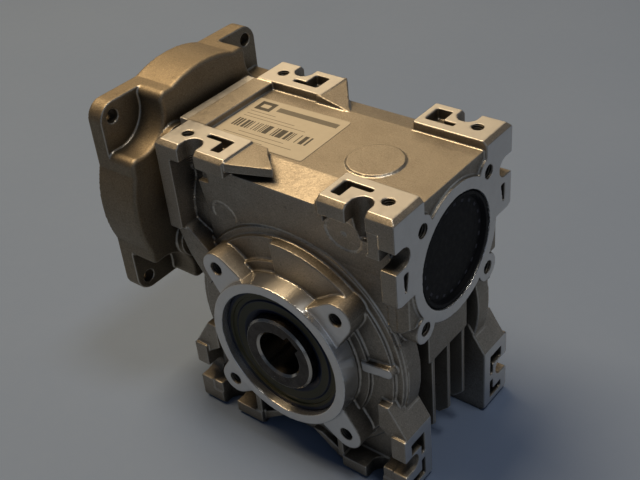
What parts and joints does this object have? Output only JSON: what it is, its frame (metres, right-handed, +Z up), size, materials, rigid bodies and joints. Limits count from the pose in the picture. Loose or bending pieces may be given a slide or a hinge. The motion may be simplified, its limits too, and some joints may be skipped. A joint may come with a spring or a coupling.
{
  "type": "worm gearbox",
  "caption": "Right-angle worm gearbox with a hollow keyed output shaft, foot pads on top and bottom, a square motor flange and a closed worm end.",
  "frame": {"origin": "on the output axis, midway between the two output faces", "axes": "+Z up from the feet, the output bore along Y with the plain housing side towards -Y, the worm axis along X at z 40 mm with the motor flange towards -X"},
  "size_m": [0.126, 0.088, 0.134],
  "materials": {
    "cast_aluminium": "as cast with machined faces",
    "cast_cover": "as cast with machined faces",
    "cast_flange": "as cast",
    "zinc_steel": "zinc plated",
    "black_steel": "black oxide",
    "gasket": "matte",
    "shaft_steel": "turned",
    "worm_steel": "ground",
    "bronze": "hobbed",
    "bearing_steel": "ground",
    "ball_steel": "polished",
    "cage_steel": "pressed",
    "seal_rubber": "satin",
    "cap_rubber": "satin",
    "label": "printed foil"
  },
  "bodies": {
    "casing": {"housing": "cast_aluminium", "side_cover": "cast_cover", "side_cover_o_ring": "seal_rubber", "side_cover_screws": "zinc_steel", "motor_flange": "cast_flange", "flange_gasket": "gasket", "flange_screws": "black_steel", "worm_end_cap": "cap_rubber", "cap_end_circlip": "black_steel", "drive_end_circlip": "black_steel", "rating_label": "label", "front_bearing_outer_race": "bearing_steel", "rear_bearing_outer_race": "bearing_steel", "drive_end_bearing_outer_race": "bearing_steel", "cap_end_bearing_outer_race": "bearing_steel", "front_output_seal": "seal_rubber", "front_seal_spring": "zinc_steel", "rear_output_seal": "seal_rubber", "rear_seal_spring": "zinc_steel", "input_seal": "seal_rubber", "input_seal_spring": "zinc_steel"},
    "output": {"output_shaft": "shaft_steel", "worm_wheel": "bronze", "front_bearing_inner_race": "bearing_steel", "rear_bearing_inner_race": "bearing_steel"},
    "worm": {"worm_shaft": "worm_steel", "worm_shaft_circlip": "black_steel", "drive_end_bearing_inner_race": "bearing_steel", "cap_end_bearing_inner_race": "bearing_steel"},
    "front_ball_set": {"front_bearing_balls": "ball_steel", "front_bearing_cage": "cage_steel"},
    "rear_ball_set": {"rear_bearing_balls": "ball_steel", "rear_bearing_cage": "cage_steel"},
    "drive_end_ball_set": {"drive_end_bearing_balls": "ball_steel", "drive_end_bearing_cage": "cage_steel"},
    "cap_end_ball_set": {"cap_end_bearing_balls": "ball_steel", "cap_end_bearing_cage": "cage_steel"}
  },
  "joints": [
    {"name": "output_spin", "type": "hinge", "parent": "casing", "child": "output", "pos_m": [0, 0, 0], "axis": [0, 1, 0], "continuous": true},
    {"name": "worm_spin", "type": "hinge", "parent": "casing", "child": "worm", "pos_m": [0, 0, 0.04], "axis": [1, 0, 0], "continuous": true},
    {"name": "front_balls_orbit", "type": "hinge", "parent": "casing", "child": "front_ball_set", "pos_m": [0, -0.024, 0], "axis": [0, 1, 0], "continuous": true},
    {"name": "rear_balls_orbit", "type": "hinge", "parent": "casing", "child": "rear_ball_set", "pos_m": [0, 0.024, 0], "axis": [0, 1, 0], "continuous": true},
    {"name": "drive_end_balls_orbit", "type": "hinge", "parent": "casing", "child": "drive_end_ball_set", "pos_m": [-0.037, 0, 0.04], "axis": [1, 0, 0], "continuous": true},
    {"name": "cap_end_balls_orbit", "type": "hinge", "parent": "casing", "child": "cap_end_ball_set", "pos_m": [0.0345, 0, 0.04], "axis": [1, 0, 0], "continuous": true}
  ],
  "couplings": [
    {"joint": "worm_spin", "follows": "output_spin", "ratio": -15},
    {"joint": "front_balls_orbit", "follows": "output_spin", "ratio": 0.41595},
    {"joint": "rear_balls_orbit", "follows": "output_spin", "ratio": 0.41595},
    {"joint": "drive_end_balls_orbit", "follows": "output_spin", "ratio": -5.9637},
    {"joint": "cap_end_balls_orbit", "follows": "output_spin", "ratio": -5.4111}
  ]
}
